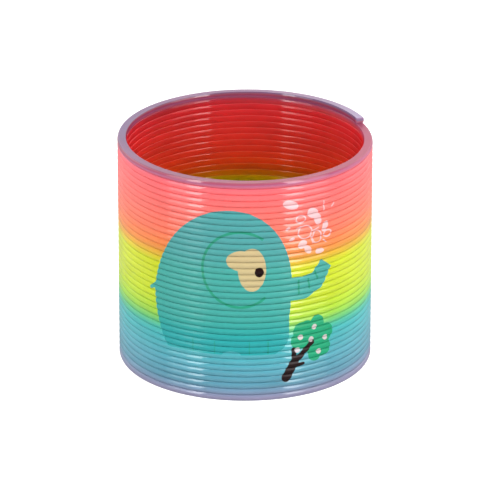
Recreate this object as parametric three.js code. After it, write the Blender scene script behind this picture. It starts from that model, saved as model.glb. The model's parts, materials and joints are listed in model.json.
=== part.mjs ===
// Rainbow spring coil toy: one flat plastic strip wound into a closed helix that stands on its end.
// The helix is left-handed, so the strip climbs clockwise as seen from above. Each full turn of the
// strip is one mesh, because the coil opens by its turns moving apart from each other.
// Millimetres, +Z up, origin at the centre of the ring that the coil stands on.
import * as THREE from "three";

const TURNS = 36;
const OUTER_DIAMETER = 75;
const STRIP_WIDTH = 2.7; // across the wall of the coil
const STRIP_HEIGHT = 1.6; // along the axis
const PITCH = 1.88; // rise of one turn of the closed coil
const END_GAP = 0.3; // clearance between the end faces of two turns
const END_AZIMUTH = THREE.MathUtils.degToRad(20); // where the strip is cut, from +X towards +Y
const STEPS_PER_TURN = 32;

const INNER_RADIUS = OUTER_DIAMETER / 2 - STRIP_WIDTH;
const MEAN_RADIUS = INNER_RADIUS + STRIP_WIDTH / 2;
const SWEEP = 2 * Math.PI - END_GAP / MEAN_RADIUS;

// The lowest turn lies flat on the table and climbs to the next one only in its last sixth.
const RAMP_START = (5 / 6) * 2 * Math.PI;

// The plastic changes colour along the strip: first turn of each band from the bottom, and its colour.
const COLOUR_BANDS = [
  { first: 1, name: "mauve", colour: 0xa09fb6 },
  { first: 2, name: "periwinkle", colour: 0x7a9fb8 },
  { first: 5, name: "sky", colour: 0x6bb3c3 },
  { first: 9, name: "teal", colour: 0x5bbbbb },
  { first: 12, name: "green", colour: 0x7cd088 },
  { first: 14, name: "lime", colour: 0xc0e050 },
  { first: 18, name: "yellow", colour: 0xdaeb4e },
  { first: 23, name: "amber", colour: 0xf1b452 },
  { first: 25, name: "orange", colour: 0xfb9668 },
  { first: 28, name: "salmon", colour: 0xfe8e80 },
  { first: 31, name: "coral", colour: 0xfd8884 },
  { first: 36, name: "lilac", colour: 0xb98bb0 },
];

// Height above the turn's start after winding through an angle, for turn number 1 to TURNS.
// The rise is a short ramp at the foot of the coil and becomes even towards the top.
function rise(turn, angle) {
  const evenness = (turn - 1) / (TURNS - 1);
  const ramp = THREE.MathUtils.smoothstep(angle, RAMP_START, 2 * Math.PI);
  const even = angle / (2 * Math.PI);
  return PITCH * THREE.MathUtils.lerp(ramp, even, evenness);
}

function stripSection() {
  const section = new THREE.Shape();
  section.moveTo(INNER_RADIUS, 0);
  section.lineTo(INNER_RADIUS + STRIP_WIDTH, 0);
  section.lineTo(INNER_RADIUS + STRIP_WIDTH, STRIP_HEIGHT);
  section.lineTo(INNER_RADIUS, STRIP_HEIGHT);
  section.closePath();
  return section;
}

// The section is drawn as radius and height, extruded along the winding angle as a straight bar,
// and the bar is then wound clockwise round the axis.
function turnGeometry(turn) {
  const geometry = new THREE.ExtrudeGeometry(stripSection(), {
    depth: SWEEP,
    steps: STEPS_PER_TURN,
    bevelEnabled: false,
  });
  const points = geometry.getAttribute("position");
  for (let i = 0; i < points.count; i++) {
    const radius = points.getX(i);
    const angle = points.getZ(i);
    const azimuth = END_AZIMUTH - angle;
    const height = points.getY(i) + rise(turn, angle);
    points.setXYZ(i, radius * Math.cos(azimuth), radius * Math.sin(azimuth), height);
  }
  geometry.computeVertexNormals();
  return geometry;
}

function turnMaterial(turn) {
  const band = COLOUR_BANDS.findLast(({ first }) => first <= turn);
  const material = new THREE.MeshStandardMaterial({
    color: band.colour,
    roughness: 0.3,
    metalness: 0,
  });
  material.name = band.name;
  return material;
}

const coil = new THREE.Group();
for (let turn = 1; turn <= TURNS; turn++) {
  const mesh = new THREE.Mesh(turnGeometry(turn), turnMaterial(turn));
  mesh.name = `turn_${String(turn).padStart(2, "0")}`;
  mesh.position.z = (turn - 1) * PITCH;
  coil.add(mesh);
}

export default coil;
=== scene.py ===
"""Printed rainbow spring coil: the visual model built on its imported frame."""
import json
import math

import bpy
import numpy as np
from bpy.props import FloatProperty, FloatVectorProperty, IntProperty, PointerProperty
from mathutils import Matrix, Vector

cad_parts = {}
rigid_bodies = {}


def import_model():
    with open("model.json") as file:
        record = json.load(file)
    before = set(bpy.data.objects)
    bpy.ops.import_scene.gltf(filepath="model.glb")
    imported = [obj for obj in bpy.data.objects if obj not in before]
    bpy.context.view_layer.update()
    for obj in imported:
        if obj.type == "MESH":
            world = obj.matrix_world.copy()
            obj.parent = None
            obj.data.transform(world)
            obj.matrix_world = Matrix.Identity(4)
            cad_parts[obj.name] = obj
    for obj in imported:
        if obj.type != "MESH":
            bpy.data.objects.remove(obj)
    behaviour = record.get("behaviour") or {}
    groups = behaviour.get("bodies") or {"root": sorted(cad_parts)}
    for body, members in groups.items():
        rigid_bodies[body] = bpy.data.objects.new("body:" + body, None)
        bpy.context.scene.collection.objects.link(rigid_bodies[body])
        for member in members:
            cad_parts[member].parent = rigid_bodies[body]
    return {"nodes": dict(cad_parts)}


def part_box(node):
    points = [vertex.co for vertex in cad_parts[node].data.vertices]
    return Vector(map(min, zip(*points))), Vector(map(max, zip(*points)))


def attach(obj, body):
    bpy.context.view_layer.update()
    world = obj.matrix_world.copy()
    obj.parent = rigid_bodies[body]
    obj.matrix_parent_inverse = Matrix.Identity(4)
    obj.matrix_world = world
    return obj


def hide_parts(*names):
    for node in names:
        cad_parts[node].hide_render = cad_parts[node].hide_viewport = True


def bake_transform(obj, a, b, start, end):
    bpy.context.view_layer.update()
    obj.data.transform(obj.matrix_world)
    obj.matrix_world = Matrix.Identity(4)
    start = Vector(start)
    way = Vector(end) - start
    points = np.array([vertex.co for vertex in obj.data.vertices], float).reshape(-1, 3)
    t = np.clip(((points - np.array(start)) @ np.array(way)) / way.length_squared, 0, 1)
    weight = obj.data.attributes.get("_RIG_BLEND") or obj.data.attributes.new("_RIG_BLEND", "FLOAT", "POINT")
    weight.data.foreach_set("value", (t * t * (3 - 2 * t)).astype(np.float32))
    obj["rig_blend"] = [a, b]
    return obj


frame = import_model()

bl_info = {
    "name": "Printed Spring Coil",
    "version": (1, 0, 0),
    "blender": (4, 5, 0),
    "location": "3D View > Sidebar > Spring Coil",
    "description": "A coil of rainbow-dyed plastic strip with a picture printed round its front",
    "category": "Add Mesh",
}

MM = 0.001
FULL_TURN = 2 * math.pi
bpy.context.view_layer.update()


# ------------------------------------------------------------------ sizes that the frame gives

TURN_NODES = sorted(frame["nodes"])
TURNS = len(TURN_NODES)
LOWEST, HIGHEST = TURN_NODES[0], TURN_NODES[-1]


def wall_radii(node):
    """Inner and outer radius of a turn, from the corners of its CAD solid."""
    reach = [math.hypot(v.co.x, v.co.y) for v in frame["nodes"][node].data.vertices]
    return min(reach), max(reach)


INNER_RADIUS, OUTER_RADIUS = wall_radii(LOWEST)
TABLE_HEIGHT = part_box(LOWEST)[0].z
PITCH = (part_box(HIGHEST)[0].z - TABLE_HEIGHT) / (TURNS - 1)
COIL_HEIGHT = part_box(HIGHEST)[1].z - TABLE_HEIGHT

# Both ends of the strip are cut at this azimuth, from +X towards +Y. The lowest turn lies flat and
# climbs to the next one only in its last sixth.
END_AZIMUTH = math.radians(20)
RAMP_START = 5 / 6

# The print faces -Y and covers this much of the outside to either side, measured along it.
PRINT_LEFT, PRINT_RIGHT = 32 * MM, 29.5 * MM

SAME_POINT = 0.005 * MM  # points of the section closer than this are one point
END_RINGS = 4  # rings round the rounded edge of a cut end

# Where on the strip its plastic changes. Each pair is where a change starts and where it is
# complete. The first three measure how far a surface faces inwards, or up or down, from 0 to 1.
LAGGING = (0.2, 0.8)
LIT_THROUGH = (0.3, 0.9)
FLAT_SIDE = (0.7, 0.95)
BELOW_RIM = (0.95, 1.25)  # turns down from the top end of the strip

DYE_LAG = 0.25  # turns by which the dye of the inside lags behind
RIM_THROUGH = 0.25  # how much of the light that comes through the wall is left at the rim


# ------------------------------------------------------------------ helpers

def linear(code):
    """An sRGB hex colour as linear red, green and blue."""
    parts = [int(code[i : i + 2], 16) / 255 for i in (1, 3, 5)]
    return tuple(c / 12.92 if c <= 0.04045 else ((c + 0.055) / 1.055) ** 2.4 for c in parts)


def colour(label, description, code):
    return FloatVectorProperty(
        name=label, description=description, subtype="COLOR", default=linear(code), min=0, max=1
    )


def length(label, description, default):
    return FloatProperty(
        name=label, description=description, default=default, min=0, unit="LENGTH", precision=5
    )


def share(label, description, default):
    return FloatProperty(
        name=label, description=description, default=default, min=0, max=1, subtype="FACTOR"
    )


def add_node(tree, kind, settings=None, inputs=None):
    """Adds a node, makes its settings, and gives each of its inputs a value or a link."""
    node = tree.nodes.new(kind)
    for key, value in (settings or {}).items():
        setattr(node, key, value)
    for key, value in (inputs or {}).items():
        if isinstance(value, bpy.types.NodeSocket):
            tree.links.new(value, node.inputs[key])
        else:
            node.inputs[key].default_value = value
    return node


def fade(values, start, end):
    """0 up to the start, 1 from the end on, and even between them."""
    return np.clip((values - start) / (end - start), 0, 1)


def eased(values):
    """The same fade with a soft start and finish."""
    return values * values * (3 - 2 * values)


def write_attribute(mesh, name, kind, values):
    attribute = mesh.attributes.new(name, kind, "POINT")
    key = "vector" if kind == "FLOAT_VECTOR" else "value"
    attribute.data.foreach_set(key, np.ascontiguousarray(values, np.float32).ravel())


# ------------------------------------------------------------------ settings

# The dye changes all along the strip: turns wound from the bottom, name, label, colour.
DYES = (
    (0.3, "mauve", "Mauve", "#938FAC"),
    (1.3, "periwinkle", "Periwinkle", "#7D99B5"),
    (2.3, "steel_blue", "Steel blue", "#619AAF"),
    (5.3, "sky", "Sky blue", "#5CAABA"),
    (9.3, "teal", "Teal", "#46B6B9"),
    (10.3, "sea_green", "Sea green", "#46B8A5"),
    (11.3, "leaf", "Leaf green", "#6EC979"),
    (12.3, "young_leaf", "Young leaf", "#99CF4B"),
    (13.3, "lime", "Lime", "#B2D637"),
    (15.3, "yellow_green", "Yellow green", "#C3D621"),
    (18.3, "yellow", "Yellow", "#C9D628"),
    (21, "deep_yellow", "Deep yellow", "#CCD619"),
    (22.3, "amber", "Amber", "#DCB52D"),
    (23.3, "tangerine", "Tangerine", "#DB943E"),
    (24.3, "orange", "Orange", "#E88C4C"),
    (26.3, "salmon", "Salmon", "#E87E60"),
    (29.3, "coral", "Coral", "#E7786C"),
    (34.6, "coral_top", "Coral at the top", "#E76E75"),
    (35.4, "pink_lilac", "Pink lilac", "#A56589"),
    (35.55, "dusky_pink", "Dusky pink", "#A64A66"),
    (35.8, "dusky_rose", "Dusky rose", "#A46474"),
    (36.05, "lilac", "Lilac", "#786A90"),
    (36.3, "heather", "Heather", "#9B718E"),
    (36.48, "pale_lilac", "Pale lilac", "#AFA4C2"),
)

# Inks in the order in which they are laid down: name, label, colour, and how much each one hides.
INKS = (
    ("skin", "Skin", "#258B8C", 0.95),
    ("outline", "Outline", "#1B7F5E", 0.8),
    ("patch", "Eye patch", "#AE9D74", 0.98),
    ("crown", "Tree crown", "#198C62", 0.98),
    ("dark", "Eye and trunk", "#1C0C0C", 1.0),
    ("spray", "Spray and blossom", "#C9B5BA", 0.8),
)


class CoilSizes(bpy.types.PropertyGroup):
    outer_gap: length("Outer gap", "Air between two closed turns at the outside", 0.045 * MM)
    inner_gap: length("Inner gap", "Air between two closed turns at the inside", 0.01 * MM)
    crown: length("Crown", "Radius to which the strip's outer face bulges", 1.45 * MM)
    inner_crown: length("Inner crown", "Radius to which its inner face bulges", 2.1 * MM)
    corner: length("Corner", "Radius of the strip's outer long edges", 0.25 * MM)
    inner_corner: length("Inner corner", "Radius of its inner long edges", 0.12 * MM)
    end_corner: length("End corner", "Radius of the edges round the strip's cut ends", 0.14 * MM)
    outside_faces: IntProperty(
        name="Outside faces", description="Faces up the outside, which is printed", default=8, min=2
    )
    inside_faces: IntProperty(
        name="Inside faces", description="Faces up the inside", default=6, min=2
    )
    corner_faces: IntProperty(
        name="Corner faces", description="Faces round each long edge", default=2, min=1
    )
    plain_face: length("Plain face", "Length of a face where nothing is printed", 1.3 * MM)
    printed_face: length("Printed face", "Length of a face under the print", 0.34 * MM)


class CoilColours(bpy.types.PropertyGroup):
    __annotations__ = {
        name: colour(label, f"Dye {turn:g} turns from the bottom", code)
        for turn, name, label, code in DYES
    }
    glow: share("Glow", "Share of the light that passes on into the plastic", 0.52)
    inner_glow: share("Inner glow", "The same share, on the inside", 0.86)
    # Painted light: the inside's base colour is raised to this power. This deepens the dye as a stand-in for
    # light that came through the wall.
    painted_deepening: FloatProperty(
        name="Deepening", description="How much deeper the dye looks on the inside",
        default=1.33, min=1,
    )
    # Painted light: this colour is multiplied into the inside's base colour where light has come through the
    # wall.
    painted_through_tint: colour("Inner tint", "What else the wall does to light on its way in", "#FFF6FF")


class PrintColours(bpy.types.PropertyGroup):
    __annotations__ = {
        name: colour(label, f"Ink of the {label.lower()}", code) for name, label, code, _ in INKS
    }


class StageSettings(bpy.types.PropertyGroup):
    elevation: FloatProperty(
        name="Camera elevation", description="Angle at which the camera looks down",
        default=math.radians(22.4), subtype="ANGLE",
    )
    distance: length("Camera distance", "From the camera to the middle of the coil", 1.37)
    focal_length: FloatProperty(
        name="Focal length", description="In millimetres, on a frame 36 mm wide",
        default=347.1, unit="CAMERA",
    )
    aim: FloatVectorProperty(
        name="Aim", description="Point that the camera looks at", subtype="TRANSLATION",
        default=(-1.48 * MM, 0, 35.44 * MM),
    )
    backdrop: FloatProperty(
        name="Backdrop", description="Brightness of the white backdrop behind", default=3.0
    )
    room: FloatProperty(name="Room", description="Brightness of the room in front", default=0.25)
    ceiling: FloatProperty(
        name="Ceiling", description="Brightness of the light overhead", default=0.16
    )
    softbox: FloatProperty(name="Softbox", description="Brightness of each softbox", default=12.8)
    floor_colour: colour("Floor", "Colour of the floor", "#BCBCBC")
    floor_glow: FloatProperty(
        name="Floor glow", description="Brightness of the light from beneath the floor",
        default=0.65,
    )
    floor_spill: FloatProperty(
        name="Floor spill", description="Brightness of that light as it reaches the coil",
        default=0.18,
    )


# ------------------------------------------------------------------ shape of the strip

def strip_section(sizes):
    """The strip's section, anticlockwise: radius and height, and the way each point faces. Its
    inner and outer faces are crowned and its edges rounded off, the inner ones less."""
    middle = PITCH / 2
    points, facing = [], []

    def arc(centre, radius, start, end, faces):
        for angle in np.radians(np.linspace(start, end, faces + 1)):
            way = np.array((math.cos(angle), math.sin(angle)))
            point = np.array(centre) + radius * way
            if all(np.hypot(*(point - points[i])) > SAME_POINT for i in (-1, 0) if points):
                points.append(point)
                facing.append(way)

    def wall(side, edge, gap, crown, bend, faces):
        reach = middle - gap / 2 - bend
        slope = math.asin(reach / (crown - bend))
        centre = edge - side * crown
        corner = centre + side * (crown - bend) * math.cos(slope)
        start, slope = 90 - 90 * side, math.degrees(slope)
        arc((corner, middle - side * reach), bend, start - 90, start - slope, sizes.corner_faces)
        arc((centre, middle), crown, start - slope, start + slope, faces)
        arc((corner, middle + side * reach), bend, start + slope, start + 90, sizes.corner_faces)

    wall(1, OUTER_RADIUS, sizes.outer_gap, sizes.crown, sizes.corner, sizes.outside_faces)
    wall(
        -1, INNER_RADIUS, sizes.inner_gap, sizes.inner_crown, sizes.inner_corner,
        sizes.inside_faces,
    )
    return np.array(points), np.array(facing)


def ring_angles(sizes):
    """Winding angles of a turn's rings, which stand closer together under the print."""
    front = (END_AZIMUTH + math.pi / 2) % FULL_TURN
    first = front - PRINT_RIGHT / OUTER_RADIUS
    last = front + PRINT_LEFT / OUTER_RADIUS
    stretches = (
        (0, first, sizes.plain_face), (first, last, sizes.printed_face),
        (last, FULL_TURN, sizes.plain_face),
    )
    rows = [
        np.linspace(a, b, math.ceil((b - a) * OUTER_RADIUS / step), endpoint=False)
        for a, b, step in stretches
    ]
    return np.append(np.concatenate(rows), FULL_TURN)


def rise(turn, angle):
    """Height gained along a turn: a short ramp at the foot of the coil, even towards the top."""
    evenness = (turn - 1) / (TURNS - 1)
    ramp = eased(fade(angle / FULL_TURN, RAMP_START, 1))
    return PITCH * (ramp + (angle / FULL_TURN - ramp) * evenness)


def rounded_end(angle, at_start, bend):
    """The rings of a cut end, where the section shrinks as its edge rounds off."""
    tilt = np.radians(np.linspace(0, 90, END_RINGS))
    along = bend * (1 - np.sin(tilt)) / OUTER_RADIUS
    inset = bend * (1 - np.cos(tilt))
    lean = np.sin(tilt)
    angles = along if at_start else angle - along
    order = slice(None, None, -1) if at_start else slice(None)
    return angles[order], inset[order], (-lean if at_start else lean)[order]


def turn_rings(turn, sizes):
    """Winding angle of each ring, how far its section is drawn in, and its lean towards the end."""
    angles = ring_angles(sizes)
    inset, lean = np.zeros_like(angles), np.zeros_like(angles)
    rows = (angles, inset, lean)
    if turn == 1:
        end = rounded_end(0, True, sizes.end_corner)
        rows = [np.append(added, row[1:]) for added, row in zip(end, rows)]
    if turn == TURNS:
        end = rounded_end(FULL_TURN, False, sizes.end_corner)
        rows = [np.append(row[:-1], added) for added, row in zip(end, rows)]
    return rows


def store_plastic(mesh, wound, place, facing, outwards):
    """Stores on a turn's points what the material reads. It takes the turns wound at each ring, the
    radius and height of each point of the section, the way its points face before any rounding of
    an end, and how far each faces outwards after it."""
    # The dye changes up the height of the strip too, because it was laid on the closed coil.
    radius, up = place[..., 0], place[..., 1]
    lag = DYE_LAG * fade(-facing[:, 0], *LAGGING)
    write_attribute(mesh, "turns", "FLOAT", wound[:, None] + up / PITCH - 0.5 - lag)

    along = wound[:, None] * FULL_TURN * OUTER_RADIUS + np.zeros_like(radius)
    write_attribute(
        mesh, "strip_place", "FLOAT_VECTOR", np.stack((along, radius, up), axis=-1)
    )

    # How far light has come through the wall to each point: far on the inside, little at the rim.
    left = RIM_THROUGH + (1 - RIM_THROUGH) * fade(TURNS - wound, *BELOW_RIM)
    through = eased(fade(-outwards, *LIT_THROUGH)) * left[:, None]
    write_attribute(mesh, "through", "FLOAT", through + np.zeros_like(radius))

    # The flat sides rub on each other as the coil works.
    rubbed = fade(np.abs(facing[:, 1]), *FLAT_SIDE)
    write_attribute(mesh, "rubbed", "FLOAT", rubbed + np.zeros_like(radius))


def wind_turn(turn, sizes):
    """Mesh of one full turn of the strip, the winding angles of its rings and the number of points
    in each ring."""
    section, facing = strip_section(sizes)
    angles, inset, lean = turn_rings(turn, sizes)
    rings, corners = len(angles), len(section)

    drawn_in = section[None] - inset[:, None, None] * facing[None]
    radius = drawn_in[..., 0]
    height = drawn_in[..., 1] + (TABLE_HEIGHT + (turn - 1) * PITCH + rise(turn, angles))[:, None]
    azimuth = (END_AZIMUTH - angles)[:, None]
    points = np.stack((radius * np.cos(azimuth), radius * np.sin(azimuth), height), axis=-1)

    # The strip runs towards falling azimuth. Near a rounded end its surface turns that way too.
    upright = np.sqrt(1 - lean**2)[:, None]
    outwards, upwards = facing[None, :, 0] * upright, facing[None, :, 1] * upright
    onwards = lean[:, None]
    normals = np.stack(
        (
            outwards * np.cos(azimuth) + onwards * np.sin(azimuth),
            outwards * np.sin(azimuth) - onwards * np.cos(azimuth),
            upwards + np.zeros_like(azimuth),
        ),
        axis=-1,
    )

    ring, corner = np.meshgrid(np.arange(rings - 1), np.arange(corners), indexing="ij")
    after = (corner + 1) % corners
    sides = np.stack(
        (
            ring * corners + corner, ring * corners + after,
            (ring + 1) * corners + after, (ring + 1) * corners + corner,
        ),
        axis=-1,
    ).reshape(-1, 4)
    caps = [list(range(corners))[::-1], list(range((rings - 1) * corners, rings * corners))]

    mesh = bpy.data.meshes.new(f"strip_{turn:02d}")
    mesh.from_pydata(points.reshape(-1, 3), [], sides.tolist() + caps)
    mesh.shade_smooth()
    ends = [
        (math.sin(a) * way, -math.cos(a) * way, 0.0)
        for a, way in ((azimuth[0, 0], -1), (azimuth[-1, 0], 1))
    ]
    side_normals = normals.reshape(-1, 3)[sides.ravel()]
    cap_normals = np.repeat(np.array(ends), corners, axis=0)
    mesh.normals_split_custom_set(np.concatenate((side_normals, cap_normals)).tolist())

    store_plastic(mesh, turn - 1 + angles / FULL_TURN, drawn_in, facing, outwards)
    return mesh, angles, corners


# ------------------------------------------------------------------ the printed picture

# A plain elephant, a tree and a splash, drawn from ellipses and round-ended strokes on the unrolled
# outside: millimetres right of the front, and above the table. Each shape is the distance to its
# edge, negative inside, and no distance past CLEAR matters.
CLEAR = 3


def ellipse(x, z, centre, radii, tilt=0):
    c, s = math.cos(math.radians(tilt)), math.sin(math.radians(tilt))
    dx, dz = x - centre[0], z - centre[1]
    u, v = dx * c + dz * s, dz * c - dx * s
    near = np.hypot(u / radii[0], v / radii[1])
    steep = np.hypot(u / radii[0] ** 2, v / radii[1] ** 2)
    return near * (near - 1) / np.maximum(steep, 1e-6)


def stroke(x, z, start, end, width, end_width=None):
    end_width = width if end_width is None else end_width
    dx, dz = end[0] - start[0], end[1] - start[1]
    t = np.clip(((x - start[0]) * dx + (z - start[1]) * dz) / (dx * dx + dz * dz), 0, 1)
    reach = np.hypot(x - start[0] - t * dx, z - start[1] - t * dz)
    return reach - (width + t * (end_width - width)) / 2


def ring(x, z, centre, radii, width, tilt=0):
    return np.abs(ellipse(x, z, centre, radii, tilt)) - width / 2


def joined(*shapes):
    return np.minimum.reduce(shapes)


def elephant_skin(x, z):
    lean = 0.12 * np.maximum(z - 32, 0)
    body = ellipse(x - lean, z, (-7.7, 32), (21.3, 27.8))
    belly = ellipse(x, z, (-4.0, 13.6), (3.2, 2.2))
    front_leg = stroke(x, z, (6.8, 32), (6.8, 20.6), 12.6)
    back_leg = stroke(x, z, (-17.6, 30), (-17.2, 20.8), 15.4, 14.0)
    body = np.maximum(np.maximum(joined(body, front_leg, back_leg), 14.6 - z), -belly)
    trunk = joined(
        stroke(x, z, (9, 34.6), (17.5, 34.2), 7.6, 7.0),
        stroke(x, z, (17.5, 34.2), (22.0, 35.8), 7.0, 6.0),
        stroke(x, z, (22.0, 35.8), (26.5, 42.0), 6.0, 4.2),
    )
    # The trunk ends in a straight cut.
    tip = (x - 25.6) * 0.62 + (z - 40.4) * 0.78
    tail = stroke(x, z, (-28.0, 33.2), (-30.6, 31.4), 1.5, 1.1)
    return joined(body, np.maximum(trunk, tip), tail)


def elephant_outline(x, z):
    """The ear's edge, open towards the face, the creases of the trunk and the edges of the feet."""
    middle, radii = (-1.5, 41.4), (11.1, 11.7)
    ear = ring(x, z, middle, radii, 0.75)
    bearing = np.degrees(np.arctan2((z - middle[1]) / radii[1], (x - middle[0]) / radii[0])) % 360
    ear = ear + np.where((bearing > 52) & (bearing < 312), 0, CLEAR)
    return joined(
        ear,
        stroke(x, z, (16.0, 36.9), (16.1, 32.6), 0.55),
        stroke(x, z, (19.1, 36.9), (19.6, 33.8), 0.55),
        stroke(x, z, (21.3, 38.8), (22.4, 36.2), 0.55),
        *(stroke(x, z, (foot, 18.6), (foot, 14.8), 0.3) for foot in (-15.6, -9.0, 1.2, 6.7)),
    )


def eye_patch(x, z):
    return joined(ellipse(x, z, (2.0, 41.4), (4.1, 6.7)), ellipse(x, z, (-1.2, 44.2), (4.3, 3.1)))


def dark_marks(x, z):
    """The eye, and the tree's forked trunk with a twig."""
    return joined(
        ellipse(x, z, (4.1, 40.6), (1.35, 1.5)),
        stroke(x, z, (12.2, 6.7), (14.8, 11.4), 2.9, 2.7),
        stroke(x, z, (14.8, 11.0), (14.5, 15.4), 1.9, 1.3),
        stroke(x, z, (14.9, 11.2), (20.5, 16.6), 2.0, 1.6),
        stroke(x, z, (14.8, 10.0), (17.6, 10.4), 1.6, 1.0),
    )


def tree_crown(x, z):
    blobs = (
        (17.3, 20.6, 3.0), (22.2, 22.2, 2.5), (25.2, 18.6, 2.9), (22.0, 16.6, 4.3),
        (24.4, 14.0, 2.8), (21.6, 12.8, 2.4), (16.4, 17.8, 2.8), (19.2, 17.8, 3.4),
        (18.6, 21.2, 2.6),
    )
    return joined(*(ellipse(x, z, (a, b), (r, r)) for a, b, r in blobs))


def spray_marks(x, z):
    """Drops, bubbles and short splashes above the trunk, and blossom in the tree."""
    drops = (
        (13.4, 60.7, 2.5, 1.3, -18), (20.6, 57.0, 2.0, 1.5, -30), (22.3, 54.8, 1.2, 2.0, 15),
        (17.2, 47.9, 1.5, 1.2, 30), (19.0, 46.0, 1.0, 1.5, 40), (24.9, 52.0, 1.0, 1.7, -25),
        (23.0, 44.7, 1.5, 0.8, 0), (13.8, 50.0, 0.9, 0.5, 20), (12.6, 53.4, 0.8, 0.5, 35),
    )
    bubbles = (
        (18.0, 51.6, 2.2, 2.0), (22.0, 49.4, 1.5, 1.9), (16.6, 55.8, 1.5, 1.1),
        (25.8, 49.6, 1.4, 1.0),
    )
    splashes = (
        ((24.5, 57.0), (24.4, 59.9)), ((27.3, 57.6), (28.4, 58.4)), ((20.6, 51.6), (22.6, 52.2)),
        ((20.0, 49.8), (20.6, 47.6)), ((15.4, 53.0), (16.6, 53.6)), ((24.2, 48.0), (25.4, 47.0)),
    )
    blossom = ((21.3, 21.2), (16.7, 18.8), (20.2, 17.5), (25.2, 17.0), (15.7, 14.9), (22.9, 13.1))
    return joined(
        *(ellipse(x, z, (a, b), (p, q), tilt) for a, b, p, q, tilt in drops),
        *(ring(x, z, (a, b), (p, q), 0.42) for a, b, p, q in bubbles),
        *(stroke(x, z, a, b, 0.45, 0.35) for a, b in splashes),
        *(ellipse(x, z, centre, (0.85, 0.85)) for centre in blossom),
    )


PICTURE = {
    "skin": elephant_skin, "outline": elephant_outline, "patch": eye_patch,
    "crown": tree_crown, "dark": dark_marks, "spray": spray_marks,
}


# ------------------------------------------------------------------ materials

# Sizes of the patterns in the plastic, and how far each runs.
FLOW_LENGTH, FLOW_SPACING = 20 * MM, 0.25 * MM
PEEL_SIZE, PEEL_SHARE = 0.9 * MM, 1.6
RELIEF_DEPTH = 0.02 * MM
CLOUD_LENGTH, CLOUD_DYE = 14 * MM, (0.95, 1.04)
NOISE_RANGE = (0.3, 0.7)  # most of a noise pattern lies between these

# Ink is whole down to the first depth in a groove between turns and gone at the second.
INK_DEPTHS = (0.6 * MM, 0.9 * MM)
INK_EDGE = 0.1  # half the width of its soft edge, in millimetres

# From bare plastic to ink, and then the roughness of the rubbed flat sides.
BARE_ROUGHNESS, INK_ROUGHNESS, RUBBED_ROUGHNESS = (0.05, 0.1), 0.25, 0.42
BARE_SPECULAR, INK_SPECULAR = 0.62, 0.12
INK_GLOW = 0.3


def stored(tree, name, output="Fac"):
    """What was stored on the points of the mesh under this name."""
    return add_node(tree, "ShaderNodeAttribute", {"attribute_name": name}).outputs[output]


def dyed_colour(tree, colours):
    """The rainbow along the strip."""
    top = TURNS + 0.5
    spread = add_node(
        tree, "ShaderNodeMapRange", None, {"Value": stored(tree, "turns"), "From Max": top}
    )
    ramp = add_node(tree, "ShaderNodeValToRGB", None, {"Fac": spread.outputs["Result"]})
    stops = ramp.color_ramp.elements
    for count, (turn, name, *_) in enumerate(DYES):
        stop = stops[count] if count < 2 else stops.new(turn / top)
        stop.position = turn / top
        stop.color = (*getattr(colours, name), 1)
    return ramp.outputs["Color"]


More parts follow.
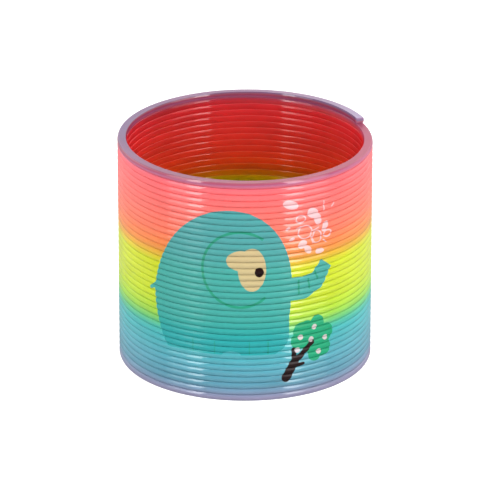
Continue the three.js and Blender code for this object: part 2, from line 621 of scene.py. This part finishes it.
def moulded_polystyrene(colours, inks):
    """Dyed polystyrene, moulded: glossy and slightly see-through, so it glows in its own colour
    where light comes through it. Its surface keeps faint flow lines along the strip and a slight
    orange-peel. Screen-printed inks lie on the outside only."""
    material = bpy.data.materials.new("dyed_polystyrene_moulded")
    material.use_nodes = True
    tree = material.node_tree
    tree.nodes.clear()

    place = stored(tree, "strip_place", "Vector")
    through = stored(tree, "through")
    plastic = dyed_colour(tree, colours)

    # Flow lines run along the strip, far longer than they are wide.
    stretched = add_node(
        tree, "ShaderNodeVectorMath", {"operation": "MULTIPLY"},
        {0: place, 1: (1 / FLOW_LENGTH, 1 / FLOW_SPACING, 1 / FLOW_SPACING)},
    )
    flow = add_node(
        tree, "ShaderNodeTexNoise", None,
        {"Vector": stretched.outputs[0], "Scale": 1.0, "Detail": 2.0, "Roughness": 0.6},
    ).outputs["Fac"]
    peel = add_node(
        tree, "ShaderNodeTexNoise", None, {"Vector": place, "Scale": 1 / PEEL_SIZE, "Detail": 1.0}
    ).outputs["Fac"]
    # The dye mixed a little unevenly, in long faint clouds.
    cloud = add_node(
        tree, "ShaderNodeTexNoise", None,
        {"Vector": place, "Scale": 1 / CLOUD_LENGTH, "Detail": 2.0},
    ).outputs["Fac"]
    unevenness = add_node(
        tree, "ShaderNodeMapRange", None,
        {
            "Value": cloud, "From Min": NOISE_RANGE[0], "From Max": NOISE_RANGE[1],
            "To Min": CLOUD_DYE[0], "To Max": CLOUD_DYE[1],
        },
    )
    plastic = add_node(
        tree, "ShaderNodeHueSaturation", None,
        {"Color": plastic, "Value": unevenness.outputs["Result"]},
    ).outputs["Color"]

    # Painted light: the base colour is deepened and tinted where light reaches the inside through the wall
    # and takes on more of the dye on its way.
    depth = add_node(
        tree, "ShaderNodeMapRange", None,
        {"Value": through, "To Min": 1.0, "To Max": colours.painted_deepening},
    )
    plastic = add_node(
        tree, "ShaderNodeGamma", None, {"Color": plastic, "Gamma": depth.outputs["Result"]}
    ).outputs["Color"]
    plastic = add_node(
        tree, "ShaderNodeMix", {"data_type": "RGBA", "blend_type": "MULTIPLY"},
        {"Factor": through, "A": plastic, "B": (*colours.painted_through_tint, 1)},
    ).outputs["Result"]

    radius = add_node(tree, "ShaderNodeSeparateXYZ", None, {0: place}).outputs["Y"]
    outside = add_node(
        tree, "ShaderNodeMapRange", {"interpolation_type": "SMOOTHSTEP"},
        {
            "Value": radius, "From Min": OUTER_RADIUS - INK_DEPTHS[1],
            "From Max": OUTER_RADIUS - INK_DEPTHS[0],
        },
    )
    seen, inked = plastic, None
    for name, *_, hides in INKS:
        inside = add_node(
            tree, "ShaderNodeMapRange", {"interpolation_type": "SMOOTHSTEP"},
            {
                "Value": stored(tree, f"ink_{name}"), "From Min": -INK_EDGE, "From Max": INK_EDGE,
                "To Max": hides,
            },
        )
        cover = add_node(
            tree, "ShaderNodeMath", {"operation": "MULTIPLY"},
            {0: inside.outputs["Result"], 1: outside.outputs["Result"]},
        ).outputs[0]
        seen = add_node(
            tree, "ShaderNodeMix", {"data_type": "RGBA"},
            {"Factor": cover, "A": seen, "B": (*getattr(inks, name), 1)},
        ).outputs["Result"]
        inked = cover if inked is None else add_node(
            tree, "ShaderNodeMath", {"operation": "MAXIMUM"}, {0: inked, 1: cover}
        ).outputs[0]

    relief = add_node(
        tree, "ShaderNodeMath", {"operation": "MULTIPLY_ADD"}, {0: peel, 1: PEEL_SHARE, 2: flow}
    )
    bump = add_node(
        tree, "ShaderNodeBump", None,
        {"Height": relief.outputs[0], "Strength": 0.18, "Distance": RELIEF_DEPTH},
    )
    bare = add_node(
        tree, "ShaderNodeMapRange", None,
        {
            "Value": flow, "From Min": NOISE_RANGE[0], "From Max": NOISE_RANGE[1],
            "To Min": BARE_ROUGHNESS[0], "To Max": BARE_ROUGHNESS[1],
        },
    )
    # The ink dries satin: its highlights are softer and fainter than those of the bare plastic.
    roughness = add_node(
        tree, "ShaderNodeMapRange", None,
        {"Value": inked, "To Min": bare.outputs["Result"], "To Max": INK_ROUGHNESS},
    )
    specular = add_node(
        tree, "ShaderNodeMapRange", None,
        {"Value": inked, "To Min": BARE_SPECULAR, "To Max": INK_SPECULAR},
    )
    # The flat sides are scuffed to satin where the turns rub.
    roughness = add_node(
        tree, "ShaderNodeMapRange", None,
        {
            "Value": stored(tree, "rubbed"), "To Min": roughness.outputs["Result"],
            "To Max": RUBBED_ROUGHNESS,
        },
    )
    surface = add_node(
        tree, "ShaderNodeBsdfPrincipled", None,
        {
            "Base Color": seen, "Roughness": roughness.outputs["Result"], "IOR": 1.5,
            "Specular IOR Level": specular.outputs["Result"],
            # The glow leaves little of this shader on the inside, so its gloss is doubled there.
            "Coat Weight": through, "Coat Roughness": 0.06,
            "Normal": bump.outputs["Normal"],
        },
    )
    glow = add_node(
        tree, "ShaderNodeBsdfTranslucent", None, {"Color": seen, "Normal": bump.outputs["Normal"]}
    )
    # More of the light that is seen on the inside has come through the wall, and ink stops it.
    passing = add_node(
        tree, "ShaderNodeMapRange", None,
        {"Value": through, "To Min": colours.glow, "To Max": colours.inner_glow},
    )
    passing = add_node(
        tree, "ShaderNodeMapRange", None,
        {"Value": inked, "To Min": passing.outputs["Result"], "To Max": INK_GLOW},
    )
    both = add_node(
        tree, "ShaderNodeMixShader", None,
        {"Fac": passing.outputs["Result"], 1: surface.outputs[0], 2: glow.outputs[0]},
    )
    add_node(tree, "ShaderNodeOutputMaterial", None, {"Surface": both.outputs[0]})
    return material


def opal_acrylic(tint, glow, spill):
    """Opal acrylic sheet, extruded: a satin white table top lit from beneath, so it stays white all
    over and holds almost no shadow. Less of that light reaches the coil, so that its gloss isn't
    washed out."""
    material = bpy.data.materials.new("opal_acrylic_sheet_lit")
    material.use_nodes = True
    tree = material.node_tree
    path = add_node(tree, "ShaderNodeLightPath")
    lit = add_node(
        tree, "ShaderNodeMapRange", None,
        {"Value": path.outputs["Is Camera Ray"], "To Min": spill, "To Max": glow},
    )
    surface = tree.nodes["Principled BSDF"]
    surface.inputs["Base Color"].default_value = (*tint, 1)
    surface.inputs["Roughness"].default_value = 0.8
    surface.inputs["Specular IOR Level"].default_value = 0.2
    surface.inputs["Emission Color"].default_value = (1, 1, 1, 1)
    tree.links.new(lit.outputs["Result"], surface.inputs["Emission Strength"])
    return material


# ------------------------------------------------------------------ stage

FLOOR_REACH = 3.0  # from the middle of the floor to its edges

# Upright softboxes to the left and right, brightest at the edge nearer the camera: bearing from
# the camera and width in degrees, and brightness.
SOFTBOXES = (
    ("left", -44, 13, 1.0), ("left_fade", -60, 19, 0.35),
    ("right", 43, 15, 1.0), ("right_fade", 63, 25, 0.35),
)
SOFTBOX_AWAY, SOFTBOX_HEIGHT = 0.6, 1.4

# How far round a direction points from front (-1) to back (1), and from level (0) to overhead (1),
# where the room turns into the backdrop and both into the ceiling.
BACKDROP_EDGE = (-0.5, 0.5)
CEILING_EDGE = (0.45, 0.85)


def floor_sheet(stage):
    mesh = bpy.data.meshes.new("floor")
    signs = ((-1, -1), (1, -1), (1, 1), (-1, 1))
    corners = [(x * FLOOR_REACH, y * FLOOR_REACH, TABLE_HEIGHT) for x, y in signs]
    mesh.from_pydata(corners, [], [(0, 1, 2, 3)])
    mesh.materials.append(opal_acrylic(stage.floor_colour, stage.floor_glow, stage.floor_spill))
    return bpy.data.objects.new("floor", mesh)


def studio_world(stage):
    """A white backdrop behind, a dim room in front and a dim ceiling."""
    world = bpy.data.worlds.new("studio")
    world.use_nodes = True
    tree = world.node_tree
    way = add_node(tree, "ShaderNodeTexCoord").outputs["Generated"]
    way = add_node(tree, "ShaderNodeSeparateXYZ", None, {0: way})
    low = add_node(
        tree, "ShaderNodeMapRange", {"interpolation_type": "SMOOTHSTEP"},
        {
            "Value": way.outputs["Y"], "From Min": BACKDROP_EDGE[0],
            "From Max": BACKDROP_EDGE[1], "To Min": stage.room, "To Max": stage.backdrop,
        },
    )
    light = add_node(
        tree, "ShaderNodeMapRange", {"interpolation_type": "SMOOTHSTEP"},
        {
            "Value": way.outputs["Z"], "From Min": CEILING_EDGE[0],
            "From Max": CEILING_EDGE[1], "To Min": low.outputs["Result"],
            "To Max": stage.ceiling,
        },
    )
    background = tree.nodes["Background"]
    background.inputs["Color"].default_value = (1, 1, 1, 1)
    tree.links.new(light.outputs["Result"], background.inputs["Strength"])
    return world


def softbox(name, bearing, width, power):
    """An area light as wide as the angle that it fills, and turned to the coil."""
    data = bpy.data.lights.new(f"softbox_{name}", "AREA")
    data.shape = "RECTANGLE"
    data.size = 2 * SOFTBOX_AWAY * math.tan(math.radians(width / 2))
    data.size_y = SOFTBOX_HEIGHT
    data.energy = power * math.pi * data.size * data.size_y
    box = bpy.data.objects.new(data.name, data)
    turn = math.radians(bearing)
    way = Vector((math.sin(turn), -math.cos(turn), 0))
    box.location = SOFTBOX_AWAY * way + Vector((0, 0, SOFTBOX_HEIGHT / 2))
    box.rotation_euler = way.to_track_quat("Z", "Y").to_euler()
    return box


def stage_camera(stage):
    camera = bpy.data.objects.new("camera", bpy.data.cameras.new("camera"))
    camera.data.lens = stage.focal_length
    camera.data.clip_end = 20
    back = Vector((0, -math.cos(stage.elevation), math.sin(stage.elevation)))
    camera.location = Vector(stage.aim) + stage.distance * back
    camera.rotation_euler = (math.pi / 2 - stage.elevation, 0, 0)
    return camera


# ------------------------------------------------------------------ operators

class SPRING_COIL_OT_wind(bpy.types.Operator):
    """Winds the turns of dyed strip and makes each one follow its body"""

    bl_idname = "spring_coil.wind"
    bl_label = "Wind the Coil"

    def execute(self, context):
        scene = context.scene
        plastic = moulded_polystyrene(scene.coil_colours, scene.print_colours)
        for turn, node in enumerate(TURN_NODES, 1):
            mesh, angles, corners = wind_turn(turn, scene.coil_sizes)
            mesh.materials.append(plastic)
            piece = bpy.data.objects.new(mesh.name, mesh)
            scene.collection.objects.link(piece)
            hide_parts(node)
            if turn == 1:
                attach(piece, node)
                continue
            # A turn's start moves with the end of the turn below, and its own end with its body.
            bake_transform(piece, LOWEST, node, start=(0, 0, 0), end=(0, 0, COIL_HEIGHT))
            lift = (turn - 2 + angles / FULL_TURN) / (turn - 1)
            weights = np.repeat(lift, corners).astype(np.float32)
            mesh.attributes["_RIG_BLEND"].data.foreach_set("value", weights)
        return {"FINISHED"}


class SPRING_COIL_OT_print(bpy.types.Operator):
    """Prints the picture on the outside of the closed coil"""

    bl_idname = "spring_coil.print"
    bl_label = "Print the Picture"

    def execute(self, context):
        for turn in range(1, TURNS + 1):
            mesh = bpy.data.objects[f"strip_{turn:02d}"].data
            points = np.zeros(len(mesh.vertices) * 3, np.float32)
            mesh.vertices.foreach_get("co", points)
            points = points.reshape(-1, 3).astype(float)
            bearing = np.arctan2(points[:, 0], -points[:, 1])
            across = bearing * OUTER_RADIUS / MM
            height = (points[:, 2] - TABLE_HEIGHT) / MM
            for name, draw in PICTURE.items():
                depth = np.clip(-draw(across, height), -CLEAR, CLEAR)
                write_attribute(mesh, f"ink_{name}", "FLOAT", depth)
        return {"FINISHED"}


class SPRING_COIL_OT_stage(bpy.types.Operator):
    """Sets out the floor, the soft studio light and the camera"""

    bl_idname = "spring_coil.stage"
    bl_label = "Set the Stage"

    def execute(self, context):
        scene = context.scene
        stage = scene.stage_settings
        scene.view_settings.view_transform = "Standard"

        floor = floor_sheet(stage)
        scene.collection.objects.link(floor)
        scene.world = studio_world(stage)
        for name, bearing, width, power in SOFTBOXES:
            box = softbox(name, bearing, width, power * stage.softbox)
            scene.collection.objects.link(box)
        scene.camera = stage_camera(stage)
        scene.collection.objects.link(scene.camera)
        return {"FINISHED"}


class SPRING_COIL_PT_panel(bpy.types.Panel):
    """The spring coil's sizes, colours and steps"""

    bl_idname = "SPRING_COIL_PT_panel"
    bl_label = "Spring Coil"
    bl_space_type = "VIEW_3D"
    bl_region_type = "UI"
    bl_category = "Spring Coil"

    def draw(self, context):
        layout = self.layout
        layout.use_property_split = True
        for operator, groups in STEPS:
            box = layout.box()
            box.operator(operator.bl_idname)
            for group in groups:
                settings = getattr(context.scene, group)
                for name in settings.__annotations__:
                    box.prop(settings, name)


STEPS = (
    (SPRING_COIL_OT_wind, ("coil_sizes", "coil_colours")),
    (SPRING_COIL_OT_print, ("print_colours",)),
    (SPRING_COIL_OT_stage, ("stage_settings",)),
)
SETTINGS = {
    "coil_sizes": CoilSizes, "coil_colours": CoilColours, "print_colours": PrintColours,
    "stage_settings": StageSettings,
}
CLASSES = (*SETTINGS.values(), *(operator for operator, groups in STEPS), SPRING_COIL_PT_panel)


def register():
    for made in CLASSES:
        bpy.utils.register_class(made)
    for name, group in SETTINGS.items():
        setattr(bpy.types.Scene, name, PointerProperty(type=group))


def unregister():
    for name in SETTINGS:
        delattr(bpy.types.Scene, name)
    for made in reversed(CLASSES):
        bpy.utils.unregister_class(made)


def main():
    register()
    bpy.ops.spring_coil.wind()
    bpy.ops.spring_coil.print()
    bpy.ops.spring_coil.stage()


if __name__ == "__main__":
    main()
